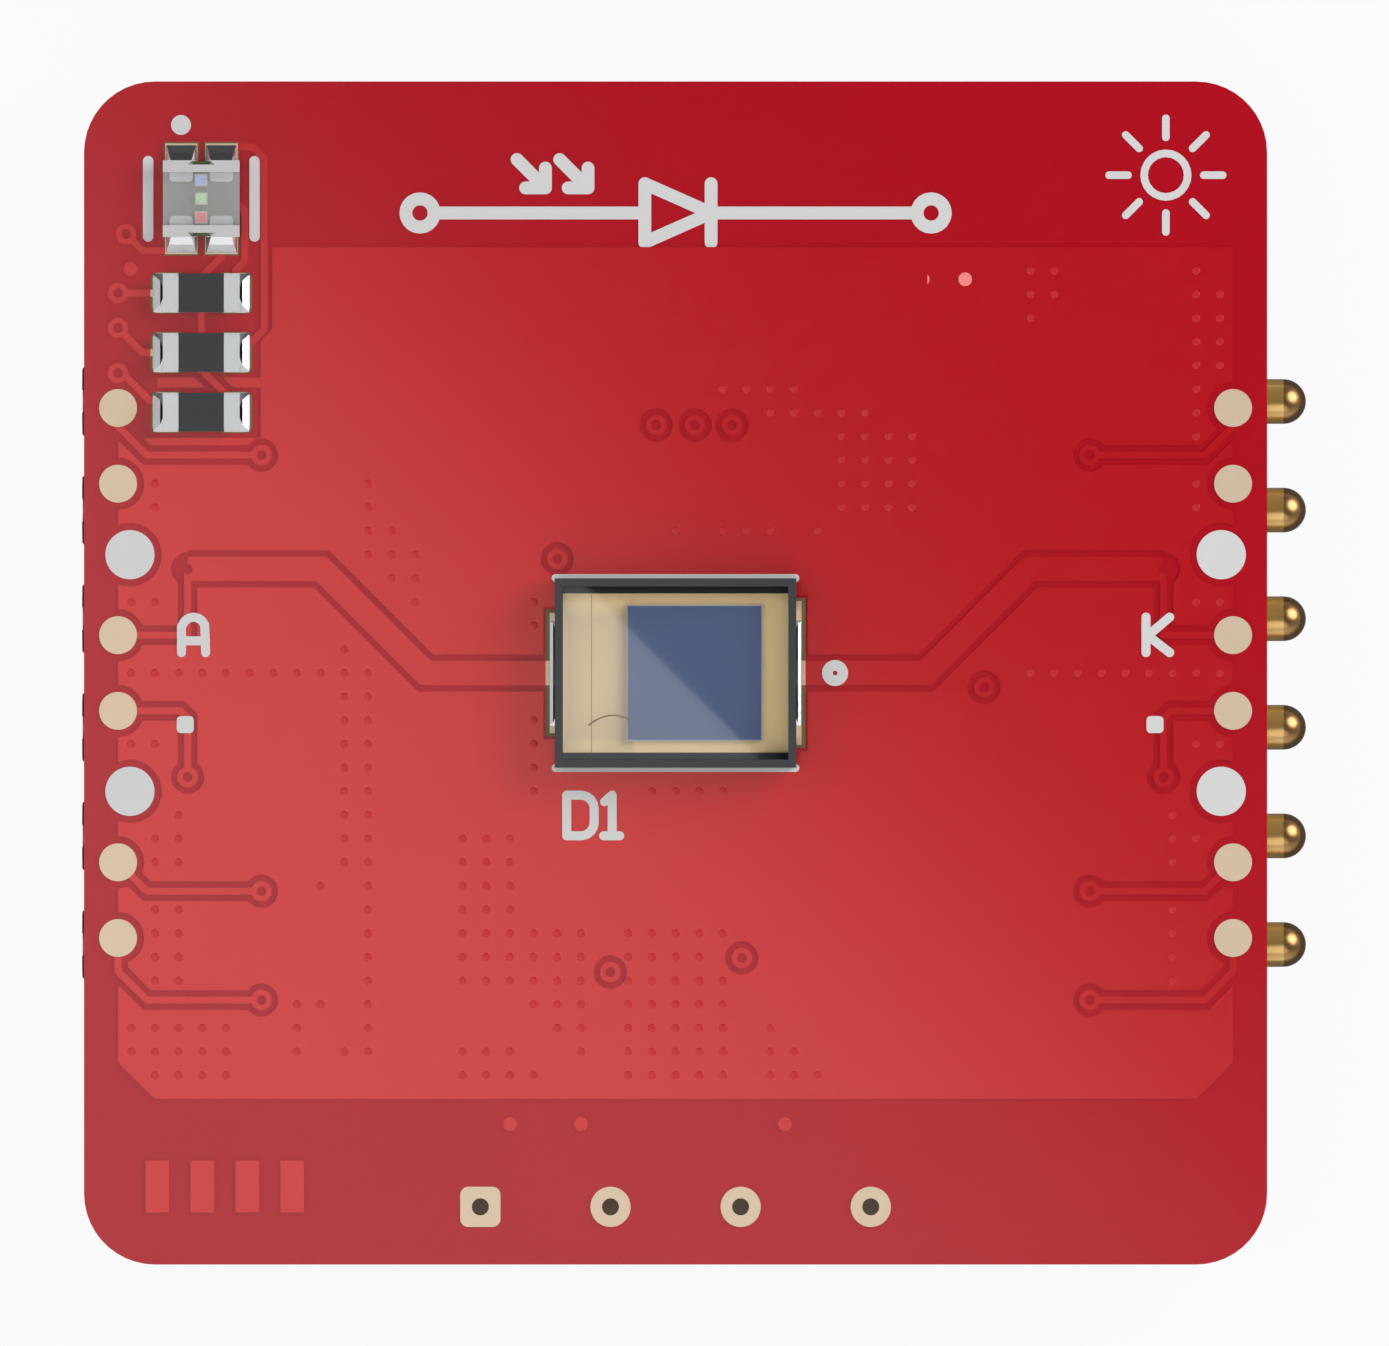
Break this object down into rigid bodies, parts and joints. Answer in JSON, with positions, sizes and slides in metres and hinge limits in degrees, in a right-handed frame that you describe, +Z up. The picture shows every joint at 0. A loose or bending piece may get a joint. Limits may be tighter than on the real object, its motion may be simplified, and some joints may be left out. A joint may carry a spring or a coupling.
{
  "type": "photodiode sensor module",
  "caption": "Square red circuit board with a windowed photodiode, indicator light, chip resistors, spring-pin contacts on one edge and flat target contacts on the other.",
  "frame": {"origin": "under the centre of the board, on the plane that the two connector housings stand on", "axes": "+Z up through the board towards the photodiode's window, +X towards the spring pins, +Y away from the header holes"},
  "size_m": [0.0259, 0.025, 0.0049],
  "materials": {
    "red_mask": "satin red solder mask over glass-fibre laminate",
    "red_mask_on_copper": "satin red solder mask over copper",
    "white_print": "matt white board printing",
    "gold_plating": "immersion gold",
    "package_grey": "fine matt dark moulding",
    "package_base": "dark laminate",
    "die_floor_gold": "soft gold plating",
    "silicon_blue": "polished silicon with a blue coat",
    "window_glass": "clear polished window",
    "solder": "bright solder",
    "light_base": "dark green laminate",
    "light_rim": "pale moulding",
    "light_resin": "grey translucent resin",
    "light_die_red": "red emitter",
    "light_die_green": "green emitter",
    "light_die_blue": "blue emitter",
    "tin_plating": "matt tin",
    "alumina": "white fired ceramic",
    "resistor_coat": "dark glaze",
    "housing_black": "black moulding",
    "pin_gold": "polished gold plating",
    "spring_steel": "drawn wire"
  },
  "bodies": {
    "module": {"circuit_board": "red_mask", "copper_pour": "red_mask_on_copper", "copper_traces": "red_mask_on_copper", "silkscreen_marks": "white_print", "edge_test_pads": "gold_plating", "plated_holes": "gold_plating", "photodiode_lands": "gold_plating", "led_lands": "gold_plating", "resistor_lands": "gold_plating", "connector_lands": "gold_plating", "photodiode_base": "package_base", "photodiode_terminals": "gold_plating", "photodiode_floor": "die_floor_gold", "photodiode_die": "silicon_blue", "photodiode_bond_wire": "pin_gold", "photodiode_frame": "package_grey", "photodiode_window": "window_glass", "photodiode_solder": "solder", "led_base": "light_base", "led_terminals": "tin_plating", "led_die_red": "light_die_red", "led_die_green": "light_die_green", "led_die_blue": "light_die_blue", "led_bond_wires": "pin_gold", "led_rim": "light_rim", "led_lens": "light_resin", "led_solder": "solder", "resistor_1_ceramic": "alumina", "resistor_1_coat": "resistor_coat", "resistor_1_end_caps": "tin_plating", "resistor_1_solder": "solder", "resistor_2_ceramic": "alumina", "resistor_2_coat": "resistor_coat", "resistor_2_end_caps": "tin_plating", "resistor_2_solder": "solder", "resistor_3_ceramic": "alumina", "resistor_3_coat": "resistor_coat", "resistor_3_end_caps": "tin_plating", "resistor_3_solder": "solder", "spring_pin_housing": "housing_black", "spring_pin_barrels": "pin_gold", "spring_1": "spring_steel", "spring_2": "spring_steel", "spring_3": "spring_steel", "spring_4": "spring_steel", "spring_5": "spring_steel", "spring_6": "spring_steel", "target_housing": "housing_black", "target_contacts": "gold_plating", "connector_solder": "solder"},
    "plunger_1": {"plunger_1": "pin_gold"},
    "plunger_2": {"plunger_2": "pin_gold"},
    "plunger_3": {"plunger_3": "pin_gold"},
    "plunger_4": {"plunger_4": "pin_gold"},
    "plunger_5": {"plunger_5": "pin_gold"},
    "plunger_6": {"plunger_6": "pin_gold"}
  },
  "joints": [
    {"name": "plunger_1_slide", "type": "slide", "parent": "module", "child": "plunger_1", "axis": [1, 0, 0], "range_m": [-0.0007, 0], "stiffness_N_per_m": 400, "springref_m": 0.0005, "deforming": ["spring_1"]},
    {"name": "plunger_2_slide", "type": "slide", "parent": "module", "child": "plunger_2", "axis": [1, 0, 0], "range_m": [-0.0007, 0], "stiffness_N_per_m": 400, "springref_m": 0.0005, "deforming": ["spring_2"]},
    {"name": "plunger_3_slide", "type": "slide", "parent": "module", "child": "plunger_3", "axis": [1, 0, 0], "range_m": [-0.0007, 0], "stiffness_N_per_m": 400, "springref_m": 0.0005, "deforming": ["spring_3"]},
    {"name": "plunger_4_slide", "type": "slide", "parent": "module", "child": "plunger_4", "axis": [1, 0, 0], "range_m": [-0.0007, 0], "stiffness_N_per_m": 400, "springref_m": 0.0005, "deforming": ["spring_4"]},
    {"name": "plunger_5_slide", "type": "slide", "parent": "module", "child": "plunger_5", "axis": [1, 0, 0], "range_m": [-0.0007, 0], "stiffness_N_per_m": 400, "springref_m": 0.0005, "deforming": ["spring_5"]},
    {"name": "plunger_6_slide", "type": "slide", "parent": "module", "child": "plunger_6", "axis": [1, 0, 0], "range_m": [-0.0007, 0], "stiffness_N_per_m": 400, "springref_m": 0.0005, "deforming": ["spring_6"]}
  ]
}
